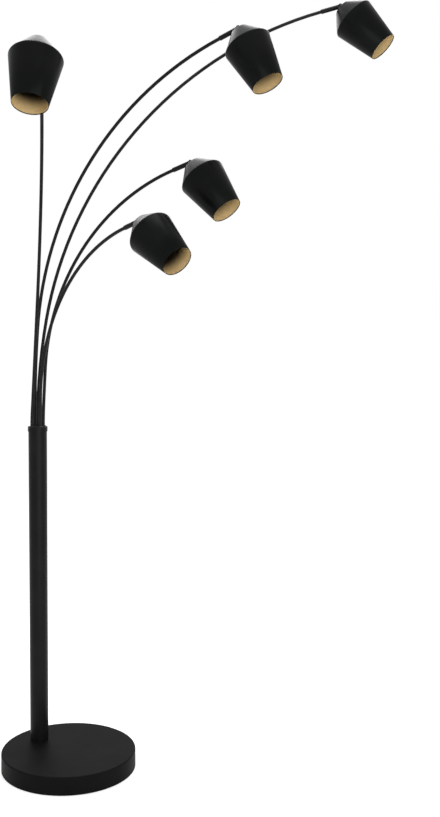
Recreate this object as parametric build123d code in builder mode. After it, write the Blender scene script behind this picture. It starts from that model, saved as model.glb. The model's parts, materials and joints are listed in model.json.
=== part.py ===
"""Five-arm tree floor lamp.

Units are millimetres and degrees.  The origin is the centre of the base's underside, on the floor,
+Z is up, and +X runs from the pole to the base's centre, which is the side that the arms lean over.

A pressed cover over an iron weight forms the base.  The pole stands on it, clamped by a hollow stud.
Its collar holds five bent tubes, four round a middle one, each free to turn about its own upright end.
Each tube ends in a sleeve with a tongue, and each shade hangs from a fork that tilts on that tongue.
"""

from math import cos, radians, sin
import os

from build123d import *

os.makedirs("parts", exist_ok=True)

# ---------------------------------------------------------------- clearances
RUNNING_FIT = 0.05  # radial, between pieces that turn or slide together
ASSEMBLY_FIT = 0.15  # radial, between pieces that are only put together
FACE_GAP = 0.1  # between faces that turn over each other

# ---------------------------------------------------------------- base
BASE_DIAMETER = 350
BASE_HEIGHT = 48  # floor to the cover's top face
COVER_WALL = 1.5
COVER_EDGE_RADIUS = 4
COVER_FLOOR_GAP = 1  # the skirt stops this far above the floor
FELT_THICKNESS = 2
FELT_INSET = 3  # felt edge inside the bottom plate's edge
BOTTOM_PLATE_THICKNESS = 1.5
WEIGHT_WEB = 18
WEIGHT_RIM_WIDTH = 24
WEIGHT_EDGE_CHAMFER = 3
BASE_SCREW_COUNT = 3
BASE_SCREW_DIAMETER = 5
BASE_SCREW_LENGTH = 14
BASE_SCREW_HEAD_DIAMETER = 9
BASE_SCREW_HEAD_HEIGHT = 1.6
BASE_SCREW_HOLE_SPARE = 2  # the tapped hole is this much deeper than the screw
FELT_HOLE_DIAMETER = 12
CABLE_HEIGHT = 13  # grommet's middle above the floor
CABLE_HOLE_DIAMETER = 7
GROMMET_NECK_DIAMETER = 11
GROMMET_FLANGE_DIAMETER = 16
GROMMET_FLANGE = 1.5
GROMMET_SPARE = 0.3  # the neck is this much longer than the cover's wall is thick
TERMINAL_LENGTH = 36
TERMINAL_WIDTH = 18
TERMINAL_HEIGHT = 12
TERMINAL_CORNER_RADIUS = 1
TERMINAL_WAYS = 3
TERMINAL_BORE = 4
TERMINAL_FROM_POLE = 60  # along +X from the pole's axis

# ---------------------------------------------------------------- pole and its fixing
POLE_FROM_EDGE = 70  # pole's axis from the base's edge on the -X side
POLE_DIAMETER = 48
POLE_WALL = 1.5
POLE_LENGTH = 834
PLUG_HEIGHT = 25
STUD_DIAMETER = 16
STUD_BORE = 10
STUD_REACH = 20  # stud's length inside the plug
STUD_TAIL = 3  # stud's length below the nut
NUT_ACROSS_FLATS = 24
NUT_HEIGHT = 8
WASHER_DIAMETER = 34
WASHER_THICKNESS = 2.5

# ---------------------------------------------------------------- collar at the pole's top
COLLAR_DIAMETER = 51
COLLAR_HEIGHT = 12.5
COLLAR_EDGE_RADIUS = 1
SPIGOT_LENGTH = 18
BORE_CIRCLE_RADIUS = 16.25
OUTER_BORE_ANGLES = {1: -111, 2: 159, 3: 69, 4: -21}
MIDDLE_ARM = 5
BUSHING_WALL = 1
BUSHING_FLANGE_DIAMETER = 13
BUSHING_FLANGE_HEIGHT = 2
SET_SCREW_DIAMETER = 4
SET_SCREW_DROP = 8  # below the pole's top
SET_SCREW_ANGLE = 204  # on the pole's back
GUIDE_DEPTH = 110  # guide plate's top below the collar's top
GUIDE_THICKNESS = 5

# ---------------------------------------------------------------- arms
TUBE_DIAMETER = 8.4
TUBE_WALL = 1
TUBE_TAIL = 8  # tube's length below the guide plate
TUBE_LEAD = 3  # tube's straight length above the collar's top
STOP_RING_DIAMETER = 12
STOP_RING_HEIGHT = 6
SIDE_SET_RADIUS = 600
ARM_NUMBERS = (1, 2, 3, 4, 5)
ARM_AZIMUTH = {1: -49.13, 2: 9.28, 3: 5.74, 4: -9.71, 5: 38.09}
ARM_SIDE_SET = {1: 3.0, 2: 0, 3: 3.5, 4: 0, 5: 0}  # sideways just above the collar, to the left
ARM_1_LOWER_RADIUS = 8061
ARM_1_UPPER_RADIUS = 550
ARM_2_LOWER_RADIUS = 3086
ARM_2_UPPER_RADIUS = 808
ARM_3_LOWER_RADIUS = 4439
ARM_3_UPPER_RADIUS = 534
ARM_4_LOWER_RADIUS = 2823
ARM_4_UPPER_RADIUS = 449
ARM_5_LOWER_RADIUS = 1591
ARM_5_UPPER_RADIUS = 1012
LOWER_RADIUS = {
    1: ARM_1_LOWER_RADIUS,
    2: ARM_2_LOWER_RADIUS,
    3: ARM_3_LOWER_RADIUS,
    4: ARM_4_LOWER_RADIUS,
    5: ARM_5_LOWER_RADIUS,
}
LOWER_BEND = {1: 2.12, 2: 4.67, 3: 1.48, 4: 1.54, 5: 9.9}
UPPER_RADIUS = {
    1: ARM_1_UPPER_RADIUS,
    2: ARM_2_UPPER_RADIUS,
    3: ARM_3_UPPER_RADIUS,
    4: ARM_4_UPPER_RADIUS,
    5: ARM_5_UPPER_RADIUS,
}
UPPER_BEND = {1: 78.5, 2: 63.93, 3: 70.11, 4: 72.74, 5: 63.09}

# ---------------------------------------------------------------- sleeve and knuckle
SLEEVE_DIAMETER = 11.5
SLEEVE_LENGTH = 43
SLEEVE_SOCKET = 38  # depth that the tube goes in
SLEEVE_CHAMFER = 0.8
TONGUE_LENGTH = 9  # sleeve's end to the pivot
TONGUE_RADIUS = 5
TONGUE_THICKNESS = 5
PIVOT_DIAMETER = 4
PIVOT_HEIGHT = 8  # pivot above the shade's cap
FORK_EAR = 2.5
FORK_RADIUS = 5.5
FORK_FOOT_DIAMETER = 16
FORK_FOOT_HEIGHT = 2.5
STEM_DIAMETER = 10
STEM_BORE = 5
STEM_LENGTH = 12
SCREW_HEAD_DIAMETER = 7
SCREW_HEAD_FLAT_DIAMETER = 3.5  # flat middle of the domed head
SCREW_HEAD_HEIGHT = 2
SCREW_HEAD_EDGE = 0.7  # height of the head's straight edge
SHADE_FOLD = {1: 74.2, 2: 80.2, 3: 67.0, 4: 52.3, 5: 64.7}  # from the sleeve's line
KNUCKLE_CLOCKING = {1: -3.0, 2: -6.3, 3: -1.3, 4: 0.2, 5: -19.8}  # about the sleeve's line

# ---------------------------------------------------------------- shade, lamp holder, bulb
RIM_DIAMETER = 114
RIM_ROUNDING = 5
CAP_DIAMETER = 46
CAP_ROUNDING = 1.5
SHOULDER_HEIGHT = 41
BODY_HEIGHT = 109
OPENING_DIAMETER = 76
SHADE_WALL = 1
HOLDER_LENGTH = 44
HOLDER_TOP_DIAMETER = 24
HOLDER_SKIRT_DIAMETER = 28
HOLDER_NECK = 14  # length of the narrow top part
HOLDER_SOCKET_DEPTH = 24
BULB_CAP_DIAMETER = 14
BULB_CAP_LENGTH = 22
BULB_CONTACT_DIAMETER = 7
BULB_NECK_LENGTH = 6
BULB_GLOBE_DIAMETER = 45
BULB_SHOULDER_ANGLE = 45  # from the globe's middle to where the neck meets it

# ---------------------------------------------------------------- places that follow
POLE_OFFSET = BASE_DIAMETER / 2 - POLE_FROM_EDGE
PLATE_TOP = FELT_THICKNESS + BOTTOM_PLATE_THICKNESS
COVER_UNDERSIDE = BASE_HEIGHT - COVER_WALL
WEB_UNDERSIDE = COVER_UNDERSIDE - WEIGHT_WEB
COVER_INNER_RADIUS = BASE_DIAMETER / 2 - COVER_WALL
WEIGHT_RADIUS = COVER_INNER_RADIUS - ASSEMBLY_FIT
BASE_SCREW_CIRCLE = WEIGHT_RADIUS - WEIGHT_RIM_WIDTH / 2
POLE_RADIUS = POLE_DIAMETER / 2
POLE_BORE_RADIUS = POLE_RADIUS - POLE_WALL
POLE_TOP = BASE_HEIGHT + POLE_LENGTH
COLLAR_TOP = POLE_TOP + COLLAR_HEIGHT
GUIDE_TOP = COLLAR_TOP - GUIDE_DEPTH
GUIDE_UNDERSIDE = GUIDE_TOP - GUIDE_THICKNESS
TUBE_RADIUS = TUBE_DIAMETER / 2
TUBE_FOOT = GUIDE_UNDERSIDE - TUBE_TAIL
BUSHING_BORE_RADIUS = TUBE_RADIUS + RUNNING_FIT
BUSHING_RADIUS = BUSHING_BORE_RADIUS + BUSHING_WALL
COLLAR_BORE_RADIUS = BUSHING_RADIUS + ASSEMBLY_FIT
FORK_INNER = TONGUE_THICKNESS / 2 + FACE_GAP
FORK_OUTER = FORK_INNER + FORK_EAR
SHADE_HEIGHT = SHOULDER_HEIGHT + BODY_HEIGHT

pole_axis = Vector(-POLE_OFFSET, 0, 0)


def section(plane):
    """The plane through another one's axis: x runs outwards and y along that axis."""
    return Plane(origin=plane.origin, x_dir=plane.x_dir, z_dir=-plane.y_dir)


def axis_of(plane):
    return Axis(plane.origin, plane.z_dir)


def on_pole(height):
    """A level plane on the pole's axis."""
    return Plane(pole_axis + Vector(0, 0, height))


def save(builder, label):
    builder.part.label = label
    export_step(builder.part, f"parts/{label}.step")


# ================================================================ base
with BuildPart() as base_cover:
    with BuildSketch(Plane.XY.offset(COVER_FLOOR_GAP)):
        Circle(BASE_DIAMETER / 2)
    extrude(amount=BASE_HEIGHT - COVER_FLOOR_GAP)
    fillet(base_cover.edges().group_by(Axis.Z)[-1], COVER_EDGE_RADIUS)
    offset(amount=-COVER_WALL, openings=base_cover.faces().sort_by(Axis.Z)[0])
    with BuildSketch(on_pole(COVER_UNDERSIDE)):
        Circle(STUD_DIAMETER / 2 + ASSEMBLY_FIT)
    extrude(amount=COVER_WALL, mode=Mode.SUBTRACT)
    with BuildSketch(Plane(origin=(-BASE_DIAMETER / 2, 0, CABLE_HEIGHT), z_dir=(1, 0, 0))):
        Circle(GROMMET_NECK_DIAMETER / 2 + ASSEMBLY_FIT)
    extrude(amount=2 * COVER_WALL, mode=Mode.SUBTRACT)

screw_spots = [
    (BASE_SCREW_CIRCLE * cos(radians(360 * i / BASE_SCREW_COUNT)),
     BASE_SCREW_CIRCLE * sin(radians(360 * i / BASE_SCREW_COUNT)))
    for i in range(BASE_SCREW_COUNT)
]

with BuildPart() as base_weight:
    with BuildSketch(Plane.XY.offset(PLATE_TOP)):
        Circle(WEIGHT_RADIUS)
    extrude(amount=COVER_UNDERSIDE - PLATE_TOP)
    chamfer(base_weight.edges().group_by(Axis.Z)[-1], WEIGHT_EDGE_CHAMFER)
    with BuildSketch(Plane.XY.offset(PLATE_TOP)):
        Circle(WEIGHT_RADIUS - WEIGHT_RIM_WIDTH)
    extrude(amount=WEB_UNDERSIDE - PLATE_TOP, mode=Mode.SUBTRACT)
    with BuildSketch(on_pole(WEB_UNDERSIDE)):
        Circle(STUD_DIAMETER / 2 + ASSEMBLY_FIT)
    extrude(amount=WEIGHT_WEB, mode=Mode.SUBTRACT)
    with BuildSketch(Plane.XY.offset(PLATE_TOP)):
        with Locations(*screw_spots):
            Circle(BASE_SCREW_DIAMETER / 2 + RUNNING_FIT)
    extrude(amount=BASE_SCREW_LENGTH - BOTTOM_PLATE_THICKNESS + BASE_SCREW_HOLE_SPARE, mode=Mode.SUBTRACT)
    cable_way = Plane(origin=(-WEIGHT_RADIUS, 0, CABLE_HEIGHT), z_dir=(1, 0, 0))
    with BuildSketch(cable_way):
        Circle(CABLE_HOLE_DIAMETER / 2)
    extrude(amount=WEIGHT_RIM_WIDTH, mode=Mode.SUBTRACT)
    with BuildSketch(cable_way):
        Circle(GROMMET_FLANGE_DIAMETER / 2 + ASSEMBLY_FIT)
    extrude(amount=GROMMET_SPARE + GROMMET_FLANGE, mode=Mode.SUBTRACT)

with BuildPart() as base_plate:
    with BuildSketch(Plane.XY.offset(FELT_THICKNESS)):
        Circle(COVER_INNER_RADIUS - ASSEMBLY_FIT)
        with Locations(*screw_spots):
            Circle(BASE_SCREW_DIAMETER / 2 + ASSEMBLY_FIT, mode=Mode.SUBTRACT)
    extrude(amount=BOTTOM_PLATE_THICKNESS)

with BuildPart() as base_felt:
    with BuildSketch():
        Circle(COVER_INNER_RADIUS - ASSEMBLY_FIT - FELT_INSET)
        with Locations(*screw_spots):
            Circle(FELT_HOLE_DIAMETER / 2, mode=Mode.SUBTRACT)
    extrude(amount=FELT_THICKNESS)

with BuildPart() as base_screws:
    with BuildSketch(Plane.XY.offset(FELT_THICKNESS)):
        with Locations(*screw_spots):
            Circle(BASE_SCREW_HEAD_DIAMETER / 2)
    extrude(amount=-BASE_SCREW_HEAD_HEIGHT)
    with BuildSketch(Plane.XY.offset(FELT_THICKNESS)):
        with Locations(*screw_spots):
            Circle(BASE_SCREW_DIAMETER / 2)
    extrude(amount=BASE_SCREW_LENGTH)

# The grommet snaps round the cover's wall: a flange on each side and a neck between them.
grommet_plane = Plane(origin=(-BASE_DIAMETER / 2, 0, CABLE_HEIGHT), x_dir=(0, 1, 0), z_dir=(1, 0, 0))
with BuildPart() as cord_grommet:
    neck_end = COVER_WALL + GROMMET_SPARE
    with BuildSketch(section(grommet_plane)):
        with BuildLine():
            Polyline(
                (CABLE_HOLE_DIAMETER / 2, -GROMMET_FLANGE),
                (GROMMET_NECK_DIAMETER / 2, -GROMMET_FLANGE),
                (GROMMET_FLANGE_DIAMETER / 2, -GROMMET_FLANGE / 2),
                (GROMMET_FLANGE_DIAMETER / 2, 0),
                (GROMMET_NECK_DIAMETER / 2, 0),
                (GROMMET_NECK_DIAMETER / 2, neck_end),
                (GROMMET_FLANGE_DIAMETER / 2, neck_end),
                (GROMMET_FLANGE_DIAMETER / 2, neck_end + GROMMET_FLANGE),
                (CABLE_HOLE_DIAMETER / 2, neck_end + GROMMET_FLANGE),
                close=True,
            )
        make_face()
    revolve(axis=axis_of(grommet_plane))

with BuildPart() as terminal_block:
    block_spot = pole_axis + Vector(TERMINAL_FROM_POLE, 0, WEB_UNDERSIDE)
    with BuildSketch(Plane(block_spot)):
        Rectangle(TERMINAL_WIDTH, TERMINAL_LENGTH)
    extrude(amount=-TERMINAL_HEIGHT)
    fillet(terminal_block.edges().filter_by(Axis.Z), TERMINAL_CORNER_RADIUS)
    ways = Plane(origin=block_spot - Vector(TERMINAL_WIDTH / 2, 0, TERMINAL_HEIGHT / 2), z_dir=(1, 0, 0))
    way_spacing = TERMINAL_LENGTH / TERMINAL_WAYS
    with BuildSketch(ways):
        with GridLocations(way_spacing, way_spacing, TERMINAL_WAYS, 1):
            Circle(TERMINAL_BORE / 2)
    extrude(amount=TERMINAL_WIDTH, mode=Mode.SUBTRACT)

# ================================================================ pole
with BuildPart() as stud_washer:
    with BuildSketch(on_pole(WEB_UNDERSIDE)):
        Circle(WASHER_DIAMETER / 2)
        Circle(STUD_DIAMETER / 2 + ASSEMBLY_FIT, mode=Mode.SUBTRACT)
    extrude(amount=-WASHER_THICKNESS)

NUT_TOP = WEB_UNDERSIDE - WASHER_THICKNESS
with BuildPart() as stud_nut:
    with BuildSketch(on_pole(NUT_TOP)):
        RegularPolygon(NUT_ACROSS_FLATS / 2, 6, major_radius=False)
        Circle(STUD_DIAMETER / 2 + RUNNING_FIT, mode=Mode.SUBTRACT)
    extrude(amount=-NUT_HEIGHT)

STUD_FOOT = NUT_TOP - NUT_HEIGHT - STUD_TAIL
with BuildPart() as stud:
    with BuildSketch(on_pole(STUD_FOOT)):
        Circle(STUD_DIAMETER / 2)
        Circle(STUD_BORE / 2, mode=Mode.SUBTRACT)
    extrude(amount=BASE_HEIGHT + STUD_REACH - STUD_FOOT)

with BuildPart() as pole_plug:
    with BuildSketch(on_pole(BASE_HEIGHT)):
        Circle(POLE_BORE_RADIUS - RUNNING_FIT)
        Circle(STUD_DIAMETER / 2 + RUNNING_FIT, mode=Mode.SUBTRACT)
    extrude(amount=PLUG_HEIGHT)

set_screw_plane = Plane(
    origin=pole_axis + Vector(0, 0, POLE_TOP - SET_SCREW_DROP),
    z_dir=(cos(radians(SET_SCREW_ANGLE)), sin(radians(SET_SCREW_ANGLE)), 0),
)

with BuildPart() as pole:
    with BuildSketch(on_pole(BASE_HEIGHT)):
        Circle(POLE_RADIUS)
        Circle(POLE_BORE_RADIUS, mode=Mode.SUBTRACT)
    extrude(amount=POLE_LENGTH)
    with BuildSketch(set_screw_plane):
        Circle(SET_SCREW_DIAMETER / 2 + RUNNING_FIT)
    extrude(amount=POLE_DIAMETER, mode=Mode.SUBTRACT)

# ================================================================ collar, bushings and guide plate
bore_spots = {
    number: pole_axis
    + Vector(BORE_CIRCLE_RADIUS * cos(radians(angle)), BORE_CIRCLE_RADIUS * sin(radians(angle)), 0)
    for number, angle in OUTER_BORE_ANGLES.items()
}
bore_spots[MIDDLE_ARM] = pole_axis
bore_points = [(spot.X, spot.Y) for spot in bore_spots.values()]

with BuildPart() as collar:
    with BuildSketch(on_pole(POLE_TOP)):
        Circle(COLLAR_DIAMETER / 2)
    extrude(amount=COLLAR_HEIGHT)
    fillet(collar.edges().group_by(Axis.Z)[-1], COLLAR_EDGE_RADIUS)
    with BuildSketch(on_pole(POLE_TOP)):
        Circle(POLE_BORE_RADIUS - RUNNING_FIT)
    extrude(amount=-SPIGOT_LENGTH)
    with BuildSketch(Plane.XY.offset(POLE_TOP - SPIGOT_LENGTH)):
        with Locations(*bore_points):
            Circle(COLLAR_BORE_RADIUS)
    extrude(amount=SPIGOT_LENGTH + COLLAR_HEIGHT, mode=Mode.SUBTRACT)

with BuildPart() as collar_set_screw:
    with BuildSketch(set_screw_plane.offset(POLE_RADIUS - POLE_WALL + FACE_GAP - RUNNING_FIT)):
        Circle(SET_SCREW_DIAMETER / 2)
    extrude(amount=POLE_WALL - FACE_GAP)

with BuildPart() as arm_bushings:
    with BuildSketch(Plane.XY.offset(POLE_TOP - SPIGOT_LENGTH)):
        with Locations(*bore_points):
            Circle(BUSHING_RADIUS)
    extrude(amount=SPIGOT_LENGTH + COLLAR_HEIGHT)
    with BuildSketch(Plane.XY.offset(COLLAR_TOP)):
        with Locations(*bore_points):
            Circle(BUSHING_FLANGE_DIAMETER / 2)
    extrude(amount=BUSHING_FLANGE_HEIGHT)
    with BuildSketch(Plane.XY.offset(POLE_TOP - SPIGOT_LENGTH)):
        with Locations(*bore_points):
            Circle(BUSHING_BORE_RADIUS)
    extrude(amount=SPIGOT_LENGTH + COLLAR_HEIGHT + BUSHING_FLANGE_HEIGHT, mode=Mode.SUBTRACT)

with BuildPart() as guide_plate:
    with BuildSketch(on_pole(GUIDE_UNDERSIDE)):
        Circle(POLE_BORE_RADIUS - RUNNING_FIT)
    extrude(amount=GUIDE_THICKNESS)
    with BuildSketch(Plane.XY.offset(GUIDE_UNDERSIDE)):
        with Locations(*bore_points):
            Circle(TUBE_RADIUS + RUNNING_FIT)
    extrude(amount=GUIDE_THICKNESS, mode=Mode.SUBTRACT)

fixed_pieces = {
    "base_cover": base_cover,
    "base_weight": base_weight,
    "base_plate": base_plate,
    "base_felt": base_felt,
    "base_screws": base_screws,
    "cord_grommet": cord_grommet,
    "terminal_block": terminal_block,
    "stud_washer": stud_washer,
    "stud_nut": stud_nut,
    "stud": stud,
    "pole_plug": pole_plug,
    "pole": pole,
    "collar": collar,
    "collar_set_screw": collar_set_screw,
    "arm_bushings": arm_bushings,
    "guide_plate": guide_plate,
}
for label, builder in fixed_pieces.items():
    save(builder, label)


# ================================================================ arms and shades
class ArmLine:
    """One arm's centre line, from its foot inside the pole to the pivot of its shade.

    It stands upright in its bushing, may take a small sideways set just above the collar, and then
    bends in one plane: a slack arc, a tighter one, and a straight end that the sleeve covers.
    """

    def __init__(self, number):
        azimuth = radians(ARM_AZIMUTH[number])
        self.side_set = radians(ARM_SIDE_SET[number])
        self.outward = Vector(cos(azimuth), sin(azimuth), 0)
        self.sideways = Vector(-sin(azimuth), cos(azimuth), 0)
        self.up = Vector(0, 0, 1) * cos(self.side_set) + self.sideways * sin(self.side_set)
        self.foot = bore_spots[number] + Vector(0, 0, TUBE_FOOT)
        self.lead = bore_spots[number] + Vector(0, 0, COLLAR_TOP + TUBE_LEAD)
        self.root = self.set_point(self.side_set)
        self.lower_radius = LOWER_RADIUS[number]
        self.upper_radius = UPPER_RADIUS[number]
        self.lower_bend = radians(LOWER_BEND[number])
        self.tip_bend = self.lower_bend + radians(UPPER_BEND[number])
        self.tip = self.heading(self.tip_bend)
        self.sleeve_start = self.upper_point(self.tip_bend)
        self.sleeve_end = self.sleeve_start + self.tip * SLEEVE_LENGTH
        self.pivot = self.sleeve_end + self.tip * TONGUE_LENGTH

    def set_point(self, angle):
        """A point of the sideways arc."""
        across = self.sideways * (SIDE_SET_RADIUS * (1 - cos(angle)))
        return self.lead + across + Vector(0, 0, SIDE_SET_RADIUS * sin(angle))

    def heading(self, angle):
        """The tube's direction where it has bent by this angle."""
        return self.outward * sin(angle) + self.up * cos(angle)

    def lower_point(self, angle):
        radius = self.lower_radius
        return self.root + self.outward * (radius * (1 - cos(angle))) + self.up * (radius * sin(angle))

    def upper_point(self, angle):
        radius = self.upper_radius
        out = radius * (cos(self.lower_bend) - cos(angle))
        rise = radius * (sin(angle) - sin(self.lower_bend))
        return self.lower_point(self.lower_bend) + self.outward * out + self.up * rise

    def draw(self):
        """The centre line as far as the tube goes, drawn into the current line."""
        Line(self.foot, self.lead)
        if self.side_set:
            ThreePointArc(self.lead, self.set_point(self.side_set / 2), self.root)
        bend = self.lower_bend
        ThreePointArc(self.root, self.lower_point(bend / 2), self.lower_point(bend))
        middle = (bend + self.tip_bend) / 2
        ThreePointArc(self.lower_point(bend), self.upper_point(middle), self.sleeve_start)
        Line(self.sleeve_start, self.sleeve_start + self.tip * SLEEVE_SOCKET)

    def shade_direction(self, number):
        """From the cap to the opening: folded down from the sleeve's line and turned about it."""
        fold = radians(SHADE_FOLD[number])
        clocking = radians(KNUCKLE_CLOCKING[number])
        below = self.outward * cos(self.tip_bend) - self.up * sin(self.tip_bend)
        beside = self.tip.cross(below)
        return self.tip * cos(fold) + (below * cos(clocking) + beside * sin(clocking)) * sin(fold)


def make_arm(number, line):
    with BuildPart() as arm:
        with BuildLine() as centre:
            line.draw()
        with BuildSketch(Plane(line.foot)):
            Circle(TUBE_RADIUS)
            Circle(TUBE_RADIUS - TUBE_WALL, mode=Mode.SUBTRACT)
        sweep(path=centre.line)
    save(arm, f"arm_{number}")

    with BuildPart() as stop_ring:
        with BuildSketch(Plane(bore_spots[number] + Vector(0, 0, GUIDE_TOP + FACE_GAP))):
            Circle(STOP_RING_DIAMETER / 2)
            Circle(TUBE_RADIUS + RUNNING_FIT, mode=Mode.SUBTRACT)
        extrude(amount=STOP_RING_HEIGHT)
    save(stop_ring, f"stop_ring_{number}")


def make_sleeve(number, line, hinge):
    with BuildPart() as sleeve:
        with BuildSketch(Plane(origin=line.sleeve_start, z_dir=line.tip)):
            Circle(SLEEVE_DIAMETER / 2)
        extrude(amount=SLEEVE_LENGTH)
        chamfer(sleeve.edges().filter_by(GeomType.CIRCLE), SLEEVE_CHAMFER)
        with BuildSketch(Plane(origin=line.sleeve_start, z_dir=line.tip)):
            Circle(TUBE_RADIUS + RUNNING_FIT)
        extrude(amount=SLEEVE_SOCKET, mode=Mode.SUBTRACT)
        with BuildSketch(Plane(origin=line.pivot, x_dir=line.tip, z_dir=hinge)):
            Circle(TONGUE_RADIUS)
            with Locations((-TONGUE_LENGTH / 2 - SLEEVE_CHAMFER, 0)):
                Rectangle(TONGUE_LENGTH + 2 * SLEEVE_CHAMFER, 2 * TONGUE_RADIUS)
            Circle(PIVOT_DIAMETER / 2 + RUNNING_FIT, mode=Mode.SUBTRACT)
        extrude(amount=TONGUE_THICKNESS / 2, both=True)
    save(sleeve, f"sleeve_{number}")


def make_knuckle(number, pivot, direction, hinge, cap_plane):
    with BuildPart() as knuckle:
        with BuildSketch(cap_plane):
            Circle(FORK_FOOT_DIAMETER / 2)
        extrude(amount=-FORK_FOOT_HEIGHT)
        with BuildSketch(cap_plane):
            Circle(STEM_DIAMETER / 2)
        extrude(amount=STEM_LENGTH)
        ear_length = PIVOT_HEIGHT - FORK_FOOT_HEIGHT / 2
        for side in (1, -1):
            inner_face = pivot + hinge * (side * FORK_INNER)
            ear_plane = Plane(origin=inner_face, x_dir=direction, z_dir=hinge * side)
            with BuildSketch(ear_plane):
                Circle(FORK_RADIUS)
                with Locations((ear_length / 2, 0)):
                    Rectangle(ear_length, 2 * FORK_RADIUS)
                Circle(PIVOT_DIAMETER / 2 + RUNNING_FIT, mode=Mode.SUBTRACT)
            extrude(amount=FORK_EAR)
        with BuildSketch(cap_plane.offset(-FORK_FOOT_HEIGHT)):
            Circle(STEM_BORE / 2)
        extrude(amount=FORK_FOOT_HEIGHT + STEM_LENGTH, mode=Mode.SUBTRACT)
    save(knuckle, f"knuckle_{number}")

    screw_plane = Plane(origin=pivot, x_dir=direction, z_dir=hinge)
    with BuildPart() as pivot_screw:
        with BuildSketch(section(screw_plane)):
            with BuildLine():
                head_base = FORK_OUTER
                head_edge = FORK_OUTER + SCREW_HEAD_EDGE
                head_top = FORK_OUTER + SCREW_HEAD_HEIGHT
                Polyline(
                    (0, head_top),
                    (0, -head_top),
                    (SCREW_HEAD_FLAT_DIAMETER / 2, -head_top),
                    (SCREW_HEAD_DIAMETER / 2, -head_edge),
                    (SCREW_HEAD_DIAMETER / 2, -head_base),
                    (PIVOT_DIAMETER / 2, -head_base),
                    (PIVOT_DIAMETER / 2, head_base),
                    (SCREW_HEAD_DIAMETER / 2, head_base),
                    (SCREW_HEAD_DIAMETER / 2, head_edge),
                    (SCREW_HEAD_FLAT_DIAMETER / 2, head_top),
                    close=True,
                )
            make_face()
        revolve(axis=axis_of(screw_plane))
    save(pivot_screw, f"pivot_screw_{number}")


def make_shade(number, cap_plane):
    with BuildPart() as shade:
        with BuildSketch(section(cap_plane)):
            with BuildLine():
                Polyline(
                    (0, 0),
                    (CAP_DIAMETER / 2, 0),
                    (RIM_DIAMETER / 2, SHOULDER_HEIGHT),
                    (OPENING_DIAMETER / 2, SHADE_HEIGHT),
                    (0, SHADE_HEIGHT),
                    close=True,
                )
            make_face()
        revolve(axis=axis_of(cap_plane))
        rings = shade.edges().filter_by(GeomType.CIRCLE).sort_by(SortBy.RADIUS)
        fillet(rings[-1], RIM_ROUNDING)
        fillet(shade.edges().filter_by(GeomType.CIRCLE).sort_by(SortBy.RADIUS)[0], CAP_ROUNDING)
        mouth = shade.faces().filter_by(GeomType.PLANE).sort_by(axis_of(cap_plane))[-1]
        offset(amount=-SHADE_WALL, openings=mouth)
        with BuildSketch(cap_plane):
            Circle(STEM_DIAMETER / 2 + ASSEMBLY_FIT)
        extrude(amount=SHADE_WALL, mode=Mode.SUBTRACT)
    save(shade, f"shade_{number}")


def make_lampholder(number, holder_plane):
    skirt_radius = HOLDER_SKIRT_DIAMETER / 2
    neck_radius = HOLDER_TOP_DIAMETER / 2
    stem_radius = STEM_DIAMETER / 2 + RUNNING_FIT
    socket_radius = BULB_CAP_DIAMETER / 2 + ASSEMBLY_FIT
    socket_top = HOLDER_LENGTH - HOLDER_SOCKET_DEPTH
    with BuildPart() as lampholder:
        with BuildSketch(section(holder_plane)):
            with BuildLine():
                Polyline(
                    (stem_radius, 0),
                    (neck_radius, 0),
                    (neck_radius, HOLDER_NECK),
                    (skirt_radius, HOLDER_NECK + (skirt_radius - neck_radius)),
                    (skirt_radius, HOLDER_LENGTH),
                    (socket_radius, HOLDER_LENGTH),
                    (socket_radius, socket_top),
                    (stem_radius, socket_top - (socket_radius - stem_radius)),
                    close=True,
                )
            make_face()
        revolve(axis=axis_of(holder_plane))
    save(lampholder, f"lampholder_{number}")


def make_bulb(number, mouth_plane):
    """A globe bulb: y is 0 at the lamp holder's mouth, the screwed cap lies on the minus side."""
    cap_radius = BULB_CAP_DIAMETER / 2
    contact_radius = BULB_CONTACT_DIAMETER / 2
    globe_radius = BULB_GLOBE_DIAMETER / 2
    globe_centre = BULB_NECK_LENGTH + globe_radius
    shoulder = radians(BULB_SHOULDER_ANGLE)
    shoulder_point = (globe_radius * sin(shoulder), globe_centre - globe_radius * cos(shoulder))
    with BuildPart() as bulb:
        with BuildSketch(section(mouth_plane)):
            with BuildLine():
                Line((0, -BULB_CAP_LENGTH), (contact_radius, -BULB_CAP_LENGTH))
                Line((contact_radius, -BULB_CAP_LENGTH), (cap_radius, contact_radius - BULB_CAP_LENGTH))
                Line((cap_radius, contact_radius - BULB_CAP_LENGTH), (cap_radius, FACE_GAP))
                Line((cap_radius, FACE_GAP), shoulder_point)
                RadiusArc(shoulder_point, (0, globe_centre + globe_radius), -globe_radius)
                Line((0, globe_centre + globe_radius), (0, -BULB_CAP_LENGTH))
            make_face()
        revolve(axis=axis_of(mouth_plane))
    save(bulb, f"bulb_{number}")


for number in ARM_NUMBERS:
    line = ArmLine(number)
    direction = line.shade_direction(number)
    hinge = line.tip.cross(direction).normalized()
    cap_plane = Plane(origin=line.pivot + direction * PIVOT_HEIGHT, x_dir=hinge, z_dir=direction)
    make_arm(number, line)
    make_sleeve(number, line, hinge)
    make_knuckle(number, line.pivot, direction, hinge, cap_plane)
    make_shade(number, cap_plane)
    make_lampholder(number, cap_plane.offset(SHADE_WALL))
    make_bulb(number, cap_plane.offset(SHADE_WALL + HOLDER_LENGTH))
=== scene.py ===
import json
from math import cos, pi, radians, sin

import bmesh
import bpy
from mathutils import Matrix, Vector

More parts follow.
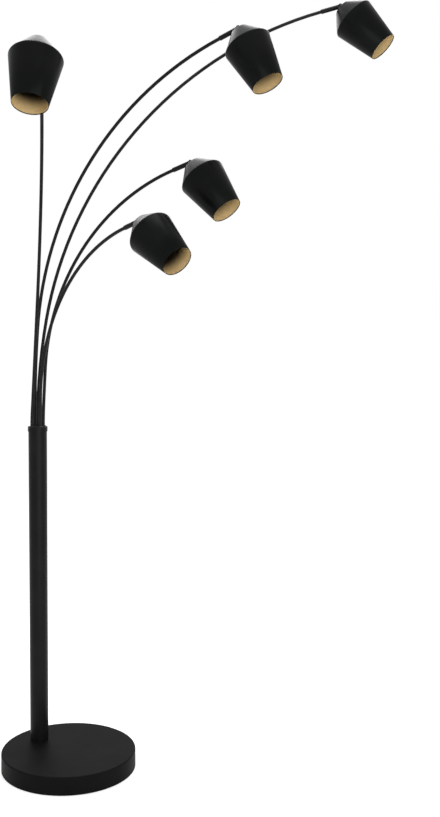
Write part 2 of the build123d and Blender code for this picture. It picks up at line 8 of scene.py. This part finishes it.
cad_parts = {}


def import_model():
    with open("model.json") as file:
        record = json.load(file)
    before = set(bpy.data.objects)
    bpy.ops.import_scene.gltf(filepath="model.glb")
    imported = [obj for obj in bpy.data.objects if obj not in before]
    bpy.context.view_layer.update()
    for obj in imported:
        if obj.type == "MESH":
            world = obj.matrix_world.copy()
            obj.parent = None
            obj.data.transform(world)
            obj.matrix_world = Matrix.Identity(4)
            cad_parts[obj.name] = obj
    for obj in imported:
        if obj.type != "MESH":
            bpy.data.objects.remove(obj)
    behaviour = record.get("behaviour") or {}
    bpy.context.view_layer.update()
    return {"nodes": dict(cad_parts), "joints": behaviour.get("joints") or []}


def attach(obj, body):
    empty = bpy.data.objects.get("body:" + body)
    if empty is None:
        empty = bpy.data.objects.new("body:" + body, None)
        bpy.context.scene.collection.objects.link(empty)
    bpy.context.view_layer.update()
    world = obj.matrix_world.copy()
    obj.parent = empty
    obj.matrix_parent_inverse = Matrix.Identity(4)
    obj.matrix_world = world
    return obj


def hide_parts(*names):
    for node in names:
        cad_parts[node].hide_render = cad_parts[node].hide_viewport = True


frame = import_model()

# All lengths are in metres, in the frame of the solids.
MM = 0.001
ARMS = (1, 2, 3, 4, 5)
AROUND = 128  # facets round a turned piece

# The camera stands in front of the lamp, to the right of its base, a little below the shades.
CAMERA_PLACE = Vector((1.838, -2.054, 1.228))
CAMERA_HEADING = 123.73  # degrees from +X towards +Y
CAMERA_PITCH = -5.763
CAMERA_ROLL = 0.65
CAMERA_SENSOR = 36
CAMERA_LENS = 47.38  # for that sensor along the picture's long side

# Shade, from the cap's top face towards the opening.
CAP_RADIUS = 23 * MM
CAP_ROUNDING = 1.5 * MM
RIM_RADIUS = 57 * MM
RIM_HEIGHT = 41 * MM
RIM_ROUNDING = 5 * MM
OPENING_RADIUS = 38 * MM
SHADE_HEIGHT = 150 * MM
SHADE_WALL = 1 * MM
STEM_HOLE_RADIUS = 5.15 * MM
EDGE_CROWN = 0.35 * MM  # the opening's edge is crowned: its middle stands out this far
ROUNDING_STEPS = 8
PIVOT_HEIGHT = 8 * MM  # pivot above the cap
BLACK_EDGE = 2 * MM  # the outside's paint reaches this far inside the opening
PAINTED_SHADE_START_DEPTH = 10 * MM  # painted shade: from the opening to here the gold is bright,
PAINTED_SHADE_FULL_DEPTH = 52 * MM  # and from here on the painted shade has darkened it into the dark end

# Materials.
NOISE_LOW = 0.3  # most values of a noise lie between these two
NOISE_HIGH = 0.7
POWDER_GRAIN = 900  # cycles per metre, as for every noise
POWDER_WAVES = POWDER_GRAIN / 7
POWDER_CLOUD = 14
FLAKE = 2600
METAL_GRAIN = 500
MOULD_GRAIN = 1200
GOLD_DARK = (0.96, 0.70, 0.34)
GOLD_LIGHT = (1.0, 0.76, 0.39)
# Painted shade: the dark colour that the gold turns into deep inside the shades.
PAINTED_SHADE_DEEP_COLOUR = (0.02, 0.014, 0.007)
NEUTRAL = (1, 1, 1)
GREENISH = (0.90, 1.0, 0.96)

# Floor and light.
FLOOR_RADIUS = 60
FLOOR_DARK = (0.80, 0.80, 0.80)
FLOOR_LIGHT = (0.82, 0.82, 0.82)
FLOOR_LIFT = 0.40  # its own light, seen by the camera and in reflections only
SKY_SEEN = 1.0  # the sky's strength to the camera, and in reflections and refractions
SKY_AMBIENT = 0.75  # and as a light on everything else
SOFTBOXES = (  # name, place, aim, width, height, watts
    ("top_light", (0.3, -0.1, 3.6), (0.2, 0.0, 1.5), 2.0, 2.0, 50),
    ("front_light", (2.6, -1.4, 0.7), (0.3, 0.0, 1.6), 2.6, 1.6, 30),
    ("back_light", (-1.3, 2.2, 3.3), (0.2, 0.0, 1.6), 3.0, 1.6, 45),
)


# ---------------------------------------------------------------- materials
def new_material(name):
    """A new material, its node tree and the Principled shader in it."""
    material = bpy.data.materials.new(name)
    material.use_nodes = True
    tree = material.node_tree
    shader = tree.nodes["Principled BSDF"]
    return material, tree, shader


def noise(tree, scale, detail=3.0, roughness=0.55):
    """Noise over the piece's own coordinates, which are metres; scale is in cycles per metre."""
    place = tree.nodes.new("ShaderNodeTexCoord")
    texture = tree.nodes.new("ShaderNodeTexNoise")
    texture.inputs["Scale"].default_value = scale
    texture.inputs["Detail"].default_value = detail
    texture.inputs["Roughness"].default_value = roughness
    tree.links.new(place.outputs["Object"], texture.inputs["Vector"])
    return texture.outputs["Fac"]


def spread(tree, value, low, high):
    """Maps the middle of a noise's range to low..high."""
    node = tree.nodes.new("ShaderNodeMapRange")
    node.inputs["From Min"].default_value = NOISE_LOW
    node.inputs["From Max"].default_value = NOISE_HIGH
    node.inputs["To Min"].default_value = low
    node.inputs["To Max"].default_value = high
    tree.links.new(value, node.inputs["Value"])
    return node.outputs["Result"]


def tones(tree, value, dark, light):
    """A colour between two tones, by a noise."""
    ramp = tree.nodes.new("ShaderNodeValToRGB")
    ramp.color_ramp.elements[0].position = NOISE_LOW
    ramp.color_ramp.elements[0].color = (*dark, 1)
    ramp.color_ramp.elements[1].position = NOISE_HIGH
    ramp.color_ramp.elements[1].color = (*light, 1)
    tree.links.new(value, ramp.inputs["Fac"])
    return ramp.outputs["Color"]


def relief(tree, shader, value, depth, strength, below=None):
    """Bump of a real depth in metres, laid over another bump if one is given."""
    bump = tree.nodes.new("ShaderNodeBump")
    bump.inputs["Distance"].default_value = depth
    bump.inputs["Strength"].default_value = strength
    tree.links.new(value, bump.inputs["Height"])
    if below is not None:
        tree.links.new(below, bump.inputs["Normal"])
    tree.links.new(bump.outputs["Normal"], shader.inputs["Normal"])
    return bump.outputs["Normal"]


def powder_coat(name, dark, light, gloss, specular, tint=NEUTRAL, depth=0.04 * MM):
    """Satin powder coat: a fine grain on longer waves, and a slow unevenness of tone and gloss."""
    material, tree, shader = new_material(name)
    cloud = noise(tree, POWDER_CLOUD)
    fine = noise(tree, POWDER_GRAIN, detail=2.0)
    tree.links.new(tones(tree, cloud, dark, light), shader.inputs["Base Color"])
    tree.links.new(spread(tree, cloud, *gloss), shader.inputs["Roughness"])
    shader.inputs["Specular IOR Level"].default_value = specular
    shader.inputs["Specular Tint"].default_value = (*tint, 1)
    waves = relief(tree, shader, noise(tree, POWDER_WAVES, detail=1.0), 2 * depth, 0.5)
    relief(tree, shader, fine, depth, 0.6, waves)
    return material


def painted_shade_with_depth(tree, colour, end):
    """Painted shade: turns a colour into another, darker one with the depth inside the shade, kept
    on its vertices.
    """
    depth = tree.nodes.new("ShaderNodeAttribute")
    depth.attribute_name = "depth"
    painted_shade_mask = tree.nodes.new("ShaderNodeMapRange")
    painted_shade_mask.interpolation_type = "SMOOTHSTEP"
    painted_shade_mask.inputs["From Min"].default_value = PAINTED_SHADE_START_DEPTH
    painted_shade_mask.inputs["From Max"].default_value = PAINTED_SHADE_FULL_DEPTH
    tree.links.new(depth.outputs["Fac"], painted_shade_mask.inputs["Value"])
    mix = tree.nodes.new("ShaderNodeMix")
    mix.data_type = "RGBA"
    mix.inputs["B"].default_value = (*end, 1)
    tree.links.new(painted_shade_mask.outputs["Result"], mix.inputs["Factor"])
    tree.links.new(colour, mix.inputs["A"])
    return mix.outputs["Result"]


def gold_paint_with_painted_shade(name):
    """Metallic paint inside the shades: fine flake, a cloudy tone, and painted shade that darkens
    it towards the deep end.
    """
    material, tree, shader = new_material(name)
    cloud = noise(tree, 45, detail=4.0)
    flake = noise(tree, FLAKE, detail=1.0)
    gold = tones(tree, cloud, GOLD_DARK, GOLD_LIGHT)
    # Painted shade: the gold darkens with the depth inside the shade.
    tree.links.new(painted_shade_with_depth(tree, gold, PAINTED_SHADE_DEEP_COLOUR), shader.inputs["Base Color"])
    tree.links.new(spread(tree, flake, 0.30, 0.46), shader.inputs["Roughness"])
    shader.inputs["Metallic"].default_value = 0.1
    relief(tree, shader, flake, 0.03 * MM, 0.5)
    return material


def metal(name, dark, light):
    """Bare or plated steel: a cloudy tone and a very fine grain."""
    material, tree, shader = new_material(name)
    cloud = noise(tree, 60, detail=4.0)
    tree.links.new(tones(tree, cloud, dark, light), shader.inputs["Base Color"])
    gloss = spread(tree, noise(tree, METAL_GRAIN, 2.0), 0.25, 0.4)
    tree.links.new(gloss, shader.inputs["Roughness"])
    shader.inputs["Metallic"].default_value = 1.0
    relief(tree, shader, noise(tree, METAL_GRAIN * 3, 1.0), 0.01 * MM, 0.5)
    return material


def rough_iron(name):
    """Sand-cast iron: a coarse skin, darker and a little brown where it is low."""
    material, tree, shader = new_material(name)
    skin = noise(tree, 350, detail=5.0)
    colour = tones(tree, skin, (0.045, 0.04, 0.038), (0.13, 0.125, 0.12))
    tree.links.new(colour, shader.inputs["Base Color"])
    tree.links.new(spread(tree, skin, 0.6, 0.85), shader.inputs["Roughness"])
    shader.inputs["Metallic"].default_value = 0.6
    relief(tree, shader, skin, 0.3 * MM, 0.8)
    return material


def moulded(name, dark, light, gloss=(0.35, 0.5)):
    """Moulded plastic or rubber with a fine even grain."""
    material, tree, shader = new_material(name)
    tree.links.new(tones(tree, noise(tree, 30), dark, light), shader.inputs["Base Color"])
    tree.links.new(spread(tree, noise(tree, 90), *gloss), shader.inputs["Roughness"])
    shader.inputs["Specular IOR Level"].default_value = 0.4
    relief(tree, shader, noise(tree, MOULD_GRAIN, 2.0), 0.03 * MM, 0.6)
    return material


def pressed_felt(name):
    """Black felt: matted fibres and a soft sheen."""
    material, tree, shader = new_material(name)
    fibres = noise(tree, 1500, detail=6.0, roughness=0.75)
    colour = tones(tree, fibres, (0.008, 0.008, 0.009), (0.035, 0.034, 0.034))
    tree.links.new(colour, shader.inputs["Base Color"])
    tree.links.new(spread(tree, fibres, 0.85, 1.0), shader.inputs["Roughness"])
    shader.inputs["Sheen Weight"].default_value = 0.3
    shader.inputs["Specular IOR Level"].default_value = 0.1
    relief(tree, shader, fibres, 0.4 * MM, 0.8)
    return material


def opal_glass(name):
    """Opal glass: white and smooth, and light goes a little way into it."""
    material, tree, shader = new_material(name)
    cloud = noise(tree, 40, detail=3.0)
    colour = tones(tree, cloud, (0.84, 0.83, 0.79), (0.92, 0.91, 0.88))
    tree.links.new(colour, shader.inputs["Base Color"])
    tree.links.new(spread(tree, noise(tree, 200), 0.12, 0.2), shader.inputs["Roughness"])
    shader.inputs["Subsurface Weight"].default_value = 0.2
    shader.inputs["Subsurface Radius"].default_value = (0.01, 0.01, 0.01)
    return material


BASE_PAINT = powder_coat(
    "base_paint", (0.003, 0.0026, 0.0027), (0.006, 0.0056, 0.0057), (0.5, 0.6), 0.04
)
POLE_PAINT = powder_coat(
    "pole_paint", (0.004, 0.004, 0.0041), (0.007, 0.007, 0.0071), (0.32, 0.40), 0.09
)
ARM_PAINT = powder_coat(
    "arm_paint", (0.004, 0.004, 0.0042), (0.008, 0.008, 0.0082), (0.30, 0.38), 0.12
)
SHADE_PAINT = powder_coat(
    "shade_paint", (0.003, 0.0031, 0.0031), (0.0055, 0.0057, 0.0057), (0.26, 0.32), 0.055,
    tint=GREENISH, depth=0.01 * MM
)
GOLD_PAINT_WITH_PAINTED_SHADE = gold_paint_with_painted_shade("gold_paint_with_painted_shade")
BLACK_SCREW = metal("black_screw", (0.02, 0.02, 0.021), (0.05, 0.05, 0.052))
PLATED_STEEL = metal("plated_steel", (0.50, 0.51, 0.53), (0.66, 0.67, 0.69))
PLAIN_STEEL = metal("plain_steel", (0.34, 0.34, 0.35), (0.46, 0.46, 0.47))
CAST_IRON = rough_iron("cast_iron")
FELT = pressed_felt("felt")
RUBBER = moulded("rubber", (0.010, 0.010, 0.010), (0.020, 0.020, 0.020), (0.55, 0.75))
BLACK_PLASTIC = moulded("black_plastic", (0.012, 0.012, 0.012), (0.022, 0.022, 0.022))
WHITE_PLASTIC = moulded("white_plastic", (0.70, 0.69, 0.65), (0.80, 0.79, 0.76))
OPAL_GLASS = opal_glass("opal_glass")


# ---------------------------------------------------------------- dressing the solids
def dress(node, material):
    """Gives a solid's object its material; the mesh stays as it is."""
    mesh = frame["nodes"][node].data
    mesh.materials.clear()
    mesh.materials.append(material)


def dress_fixed_pieces():
    dress("base_cover", BASE_PAINT)
    dress("base_weight", CAST_IRON)
    dress("base_felt", FELT)
    dress("cord_grommet", RUBBER)
    dress("terminal_block", WHITE_PLASTIC)
    dress("arm_bushings", BLACK_PLASTIC)
    dress("pole", POLE_PAINT)
    dress("collar", POLE_PAINT)
    dress("collar_set_screw", BLACK_SCREW)
    for node in ("base_plate", "base_screws", "stud", "stud_nut", "stud_washer"):
        dress(node, PLATED_STEEL)
    for node in ("pole_plug", "guide_plate"):
        dress(node, PLAIN_STEEL)


def dress_arm(number):
    dress(f"arm_{number}", ARM_PAINT)
    dress(f"sleeve_{number}", ARM_PAINT)
    dress(f"stop_ring_{number}", PLATED_STEEL)
    dress(f"knuckle_{number}", ARM_PAINT)
    dress(f"pivot_screw_{number}", BLACK_SCREW)
    dress(f"lampholder_{number}", BLACK_PLASTIC)
    dress(f"bulb_{number}", OPAL_GLASS)


# ---------------------------------------------------------------- shades
def rounded(before, corner, after, radius):
    """Points of the arc that rounds a profile's corner."""
    corner = Vector(corner)
    back = (Vector(before) - corner).normalized()
    ahead = (Vector(after) - corner).normalized()
    half = back.angle(ahead) / 2
    reach = radius / (sin(half) / cos(half))
    centre = corner + (back + ahead).normalized() * (radius / sin(half))
    start = corner + back * reach - centre
    turn = pi - 2 * half
    way = 1 if start.x * ahead.y - start.y * ahead.x > 0 else -1
    points = []
    for i in range(ROUNDING_STEPS + 1):
        angle = way * turn * i / ROUNDING_STEPS
        spun_x = start.x * cos(angle) - start.y * sin(angle)
        spun_y = start.x * sin(angle) + start.y * cos(angle)
        points.append(centre + Vector((spun_x, spun_y)))
    return points


def inset_corner(before, corner, after, inset):
    """A profile's corner, moved so that both lines that meet there move inwards by inset."""
    first = (Vector(corner) - Vector(before)).normalized()
    second = (Vector(after) - Vector(corner)).normalized()
    inward = Vector((-first.y - second.y, first.x + second.x))
    return Vector(corner) + inward * (inset / (1 + first.dot(second)))


def shade_profile(inset):
    """The shade's wall from the stem's hole to the opening as (radius, height), inset inwards."""
    hole = (STEM_HOLE_RADIUS, 0)
    cap = (CAP_RADIUS, 0)
    rim = (RIM_RADIUS, RIM_HEIGHT)
    mouth = (OPENING_RADIUS, SHADE_HEIGHT)
    taper = (Vector(mouth) - Vector(rim)).normalized()
    hole_here = Vector(hole) + Vector((0, inset))
    cap_here = inset_corner(hole, cap, rim, inset)
    rim_here = inset_corner(cap, rim, mouth, inset)
    mouth_here = Vector(mouth) - Vector((inset / taper.y, 0))
    points = [hole_here]
    points += rounded(hole_here, cap_here, rim_here, CAP_ROUNDING - inset)
    points += rounded(cap_here, rim_here, mouth_here, RIM_ROUNDING - inset)
    points.append(mouth_here)
    return points


def shell_profile():
    """Both sides of the wall as one closed profile, and how many of its first bands are black."""
    outside = shade_profile(0)
    inside = shade_profile(SHADE_WALL)
    edge_middle = Vector(((outside[-1].x + inside[-1].x) / 2, SHADE_HEIGHT))
    outside[-1] = outside[-1] - Vector((0, EDGE_CROWN))
    inside[-1] = inside[-1] - Vector((0, EDGE_CROWN))
    wall_line = (inside[-2] - inside[-1]).normalized()
    black_end = inside[-1] + wall_line * BLACK_EDGE
    black_bands = len(outside) + 2
    return outside + [edge_middle, inside[-1], black_end] + inside[-2::-1], black_bands


def shade_frame(number):
    """A shade's pivot, hinge axis and direction from cap to opening, from its joint and solid."""
    shade = frame["nodes"][f"shade_{number}"].data
    joint = next(j for j in frame["joints"] if j["name"] == f"shade_tilt_{number}")
    pivot = Vector(joint["pos_m"])
    hinge = Vector(joint["axis"]).normalized()
    middle = sum((v.co for v in shade.vertices), Vector()) / len(shade.vertices)
    down = middle - pivot
    down = (down - hinge * down.dot(hinge)).normalized()
    return pivot, hinge, down


def turned_shade(number):
    """The shade's shell: black outside, gold inside, with a thin crowned edge at the opening."""
    pivot, hinge, down = shade_frame(number)
    side = down.cross(hinge)
    origin = pivot + down * PIVOT_HEIGHT
    profile, black_bands = shell_profile()
    mesh = bpy.data.meshes.new(f"shade_shell_{number}")
    bm = bmesh.new()
    # Depth inside the shade, kept on each vertex; it drives the painted shade of the gold inside.
    depth = bm.verts.layers.float.new("depth")
    rings = []
    for point in profile:
        ring = []
        for i in range(AROUND):
            angle = 2 * pi * i / AROUND
            out = hinge * cos(angle) + side * sin(angle)
            vert = bm.verts.new(origin + down * point.y + out * point.x)
            vert[depth] = SHADE_HEIGHT - point.y
            ring.append(vert)
        rings.append(ring)
    closed = rings + rings[:1]
    for index, (ring, after) in enumerate(zip(closed, closed[1:])):
        black = index < black_bands or index == len(rings) - 1
        for i in range(AROUND):
            j = (i + 1) % AROUND
            face = bm.faces.new((ring[i], ring[j], after[j], after[i]))
            face.smooth = True
            face.material_index = 0 if black else 1
    bmesh.ops.recalc_face_normals(bm, faces=bm.faces)
    bm.to_mesh(mesh)
    bm.free()
    mesh.materials.append(SHADE_PAINT)
    mesh.materials.append(GOLD_PAINT_WITH_PAINTED_SHADE)
    shell = bpy.data.objects.new(f"shade_shell_{number}", mesh)
    bpy.context.scene.collection.objects.link(shell)
    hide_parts(f"shade_{number}")
    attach(shell, f"shade_unit_{number}")


# ---------------------------------------------------------------- floor, light and camera
def larger(tree, first, second):
    """The larger of two values."""
    node = tree.nodes.new("ShaderNodeMath")
    node.operation = "MAXIMUM"
    tree.links.new(first, node.inputs[0])
    tree.links.new(second, node.inputs[1])
    return node.outputs["Value"]


def floor():
    """A wide pale floor. It looks white to the camera and still takes the lamp's shadow."""
    mesh = bpy.data.meshes.new("floor")
    bm = bmesh.new()
    bmesh.ops.create_circle(bm, cap_ends=True, segments=96, radius=FLOOR_RADIUS)
    bm.to_mesh(mesh)
    bm.free()
    material, tree, shader = new_material("floor_white")
    grain = noise(tree, 40, detail=2.0)
    tree.links.new(tones(tree, grain, FLOOR_DARK, FLOOR_LIGHT), shader.inputs["Base Color"])
    shader.inputs["Roughness"].default_value = 0.9
    shader.inputs["Specular IOR Level"].default_value = 0.1
    shader.inputs["Emission Color"].default_value = (1, 1, 1, 1)
    path = tree.nodes.new("ShaderNodeLightPath")
    seen = larger(tree, path.outputs["Is Camera Ray"], path.outputs["Is Glossy Ray"])
    lift = tree.nodes.new("ShaderNodeMath")
    lift.operation = "MULTIPLY"
    lift.inputs[1].default_value = FLOOR_LIFT
    tree.links.new(seen, lift.inputs[0])
    tree.links.new(lift.outputs["Value"], shader.inputs["Emission Strength"])
    mesh.materials.append(material)
    plane = bpy.data.objects.new("floor", mesh)
    bpy.context.scene.collection.objects.link(plane)


def world():
    """Soft light from all round, and white where the camera or a reflection looks past the lamp."""
    sky = bpy.data.worlds.new("studio")
    bpy.context.scene.world = sky
    sky.use_nodes = True
    tree = sky.node_tree
    background = tree.nodes["Background"]
    background.inputs["Color"].default_value = (1, 1, 1, 1)
    path = tree.nodes.new("ShaderNodeLightPath")
    seen = larger(tree, path.outputs["Is Camera Ray"], path.outputs["Is Glossy Ray"])
    through = larger(tree, seen, path.outputs["Is Transmission Ray"])
    strength = tree.nodes.new("ShaderNodeMapRange")
    strength.inputs["To Min"].default_value = SKY_AMBIENT
    strength.inputs["To Max"].default_value = SKY_SEEN
    tree.links.new(through, strength.inputs["Value"])
    tree.links.new(strength.outputs["Result"], background.inputs["Strength"])


def softbox(name, place, aim, width, height, watts):
    """An area light turned towards a point."""
    data = bpy.data.lights.new(name, "AREA")
    data.shape = "RECTANGLE"
    data.size = width
    data.size_y = height
    data.energy = watts
    lamp = bpy.data.objects.new(name, data)
    lamp.location = place
    lamp.visible_camera = False
    lamp.rotation_euler = (Vector(aim) - Vector(place)).to_track_quat("-Z", "Y").to_euler()
    bpy.context.scene.collection.objects.link(lamp)


def camera():
    heading = radians(CAMERA_HEADING)
    pitch = radians(CAMERA_PITCH)
    ahead = Vector((cos(heading) * cos(pitch), sin(heading) * cos(pitch), sin(pitch)))
    level = ahead.to_track_quat("-Z", "Y").to_matrix().to_4x4()
    roll = Matrix.Rotation(radians(CAMERA_ROLL), 4, "Z")
    data = bpy.data.cameras.new("camera")
    data.sensor_width = CAMERA_SENSOR
    data.lens = CAMERA_LENS
    eye = bpy.data.objects.new("camera", data)
    eye.matrix_world = Matrix.Translation(CAMERA_PLACE) @ level @ roll
    bpy.context.scene.collection.objects.link(eye)
    bpy.context.scene.camera = eye


dress_fixed_pieces()
for number in ARMS:
    dress_arm(number)
    turned_shade(number)
floor()
world()
for settings in SOFTBOXES:
    softbox(*settings)
camera()
bpy.context.scene.view_settings.view_transform = "Standard"
